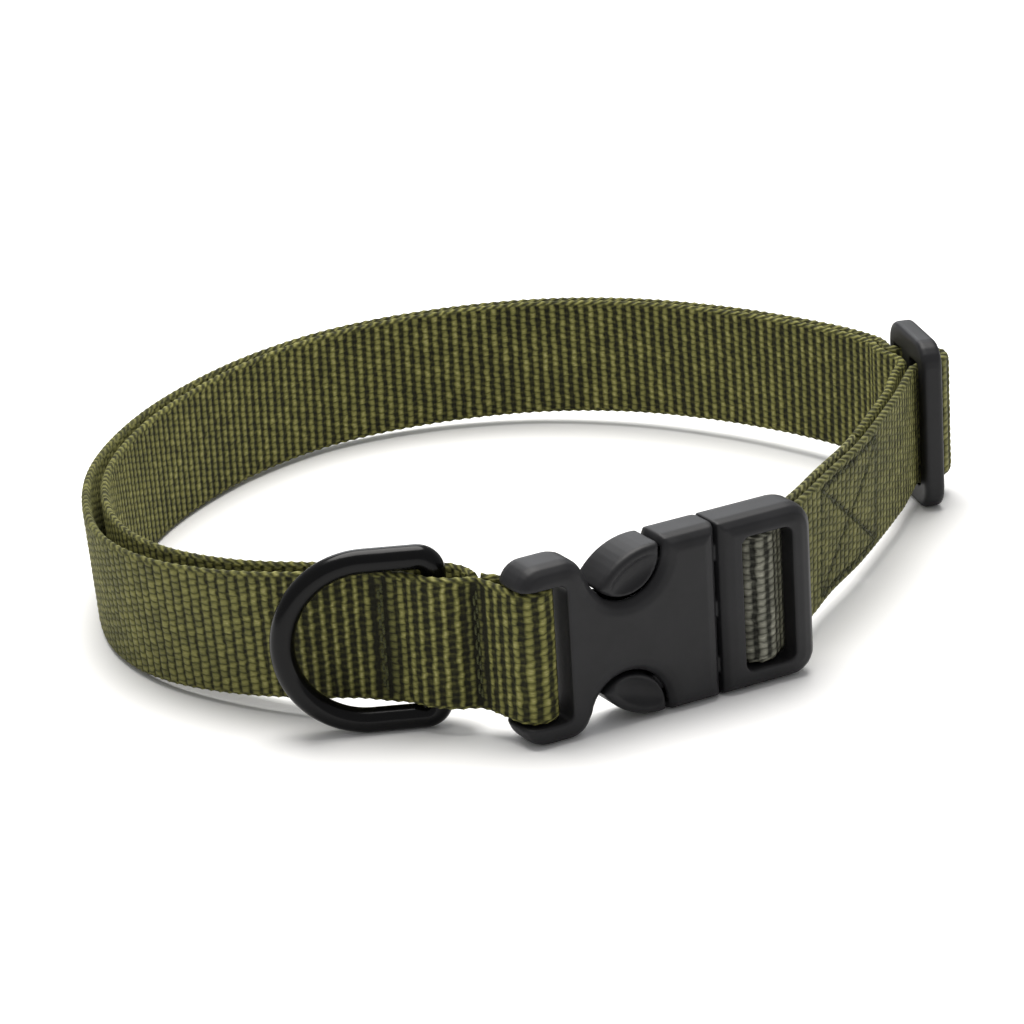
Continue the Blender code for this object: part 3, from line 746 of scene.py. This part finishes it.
def d_ring(material):
    """The ring's round wire, swept finely round its D."""
    radius = (ring_inner_height + ring_wire) / 2
    straight = ring_reach - radius
    line = arc(ring_corner, radius - ring_corner, ring_corner, 180, 90, 14)
    line += arc(straight, 0.0, radius, 90, -90, 90)
    line += arc(ring_corner, -radius + ring_corner, ring_corner, 270, 180, 14)
    line += [(0.0, v) for v in np.linspace(-radius + ring_corner, radius - ring_corner, 24)[1:-1]]
    line = np.array(line)
    ahead = np.roll(line, -1, axis=0)
    behind = np.roll(line, 1, axis=0)
    way = ahead - behind
    way /= np.linalg.norm(way, axis=1)[:, None]
    side = np.column_stack([way[:, 1], -way[:, 0]])
    sides = 40
    angles = 2 * np.pi * np.arange(sides) / sides
    points = []
    for spot, across in zip(line, side):
        for angle in angles:
            u = float(spot[0] + across[0] * ring_wire / 2 * math.cos(angle))
            v = float(spot[1] + across[1] * ring_wire / 2 * math.cos(angle))
            points.append(ring.point(u, v, ring_wire / 2 * math.sin(angle)))
    faces = bands(0, len(line), sides, closed=True)
    item = piece("ring_wire", points, faces, material, "ring")
    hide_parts("d_ring")


d_ring(coat)


# Moulded pieces


def pad_dishes():
    """Hidden shapes that press a shallow dish into the outer and inner faces of both release pads."""
    half_length = 7.0 * mm
    half_height = 3.3 * mm
    half_depth = 2.8 * mm
    stand_off = 1.55 * mm
    sides = 40
    rings = 17
    # Share of a step by which the first and last rings stay off the poles
    off_pole = 0.02
    points = []
    faces = []
    for up in (1, -1):
        for front in (1, -1):
            base = len(points)
            middle_out = front * (buckle_thick / 2 - pad_recess + stand_off)
            for j in range(rings):
                tilt = math.pi * (j + off_pole) / (rings - 1 + 2 * off_pole)
                for s in range(sides):
                    turn = 2 * math.pi * s / sides
                    u = half_length * math.sin(tilt) * math.cos(turn)
                    v = half_height * math.sin(tilt) * math.sin(turn)
                    along = pad_face_along + u * math.cos(pad_slope) - v * math.sin(pad_slope)
                    rise = pad_face_height + u * math.sin(pad_slope) + v * math.cos(pad_slope)
                    out = middle_out + half_depth * math.cos(tilt)
                    points.append(buckle.point(along, up * rise, out))
            skin = capped(base, rings, sides)
            # The lower shapes are mirrored, so their faces run the other way round
            faces += skin if up < 0 else [face[::-1] for face in skin]
    item = new_object("pad_dishes", new_mesh("pad_dishes", points, faces))
    item.hide_render = True
    item.hide_viewport = True
    return item


def mould(node, voxel, passes, material, cutter=None):
    """Presses a cutter into a CAD node, softens its edges as a mould does and gives it its finish.

    A finer voxel grid and fewer passes of smoothing leave the edges sharper.
    """
    item = nodes[node]
    item.data.materials.clear()
    item.data.materials.append(material)
    weld = item.modifiers.new("weld", "WELD")
    weld.merge_threshold = 0.005 * mm
    if cutter:
        press = item.modifiers.new("press", "BOOLEAN")
        press.operation = "DIFFERENCE"
        press.solver = "EXACT"
        press.object = cutter
    remesh = item.modifiers.new("skin", "REMESH")
    remesh.mode = "VOXEL"
    remesh.voxel_size = voxel
    remesh.use_smooth_shade = True
    smooth = item.modifiers.new("soften", "SMOOTH")
    smooth.factor = 0.5
    smooth.iterations = passes
    # Smoothing pulls the skin in by about this much
    swell = item.modifiers.new("swell", "DISPLACE")
    swell.mid_level = 0.0
    swell.strength = mould_swell


mould("buckle_female", 0.26 * mm, 5, acetal)
mould("buckle_male", 0.245 * mm, 3, acetal, pad_dishes())
mould("slider", 0.24 * mm, 4, acetal)


# Floor, lights and camera


def area_light(name, place, target, size, power, colour):
    light = bpy.data.lights.new(name, "AREA")
    light.shape = "DISK"
    light.size = size
    light.energy = power
    light.color = linear(colour)[:3]
    item = new_object(name, light)
    item.location = place
    item.rotation_euler = (Vector(target) - Vector(place)).to_track_quat("-Z", "Y").to_euler()


def studio():
    """Matte white paper that gives soft grey shadows, under a broad light and a weak one behind."""
    paper = Finish("white_paper_sweep", "#f7f7f7", 0.9, 1.45)
    reach = 3.0
    sheet = [(-reach, -reach, 0), (reach, -reach, 0), (reach, reach, 0), (-reach, reach, 0)]
    mesh = new_mesh("floor", sheet, [(0, 1, 2, 3)])
    mesh.materials.append(paper.material)
    floor = new_object("floor", mesh)
    world = bpy.data.worlds.new("studio")
    world.use_nodes = True
    sky = world.node_tree.nodes["Background"].inputs
    sky["Color"].default_value = (1, 1, 1, 1)
    sky["Strength"].default_value = 0.44
    bpy.context.scene.world = world
    area_light("overhead", (-0.05, 0.25, 1.0), (0, 0.05, 0), 0.95, 17.0, "#fffdfa")
    area_light("behind", (-0.1, 1.25, 0.55), (0, 0, 0.02), 0.8, 3.2, "#f8fbff")
    bpy.context.scene.view_settings.view_transform = "Standard"


def camera():
    """The photograph's view: tilt, roll and distance as solved from the collar's known sizes."""
    tilt = math.radians(20.5)
    roll = math.radians(-3.5)
    target = Vector((-0.0032, 0.0318, 0.0))
    distance = 0.848
    focal_length = 147.656
    back = Vector((0, -math.cos(tilt), math.sin(tilt)))
    level = Vector((1, 0, 0))
    rise = Vector((0, math.sin(tilt), math.cos(tilt)))
    right = math.cos(roll) * level + math.sin(roll) * rise
    up = -math.sin(roll) * level + math.cos(roll) * rise
    data = bpy.data.cameras.new("camera")
    data.sensor_width = 36
    data.lens = focal_length
    data.clip_start = 0.01
    item = new_object("camera", data)
    turn = Matrix((right, up, back)).transposed().to_4x4()
    item.matrix_world = Matrix.Translation(target + back * distance) @ turn
    bpy.context.scene.camera = item


studio()
camera()
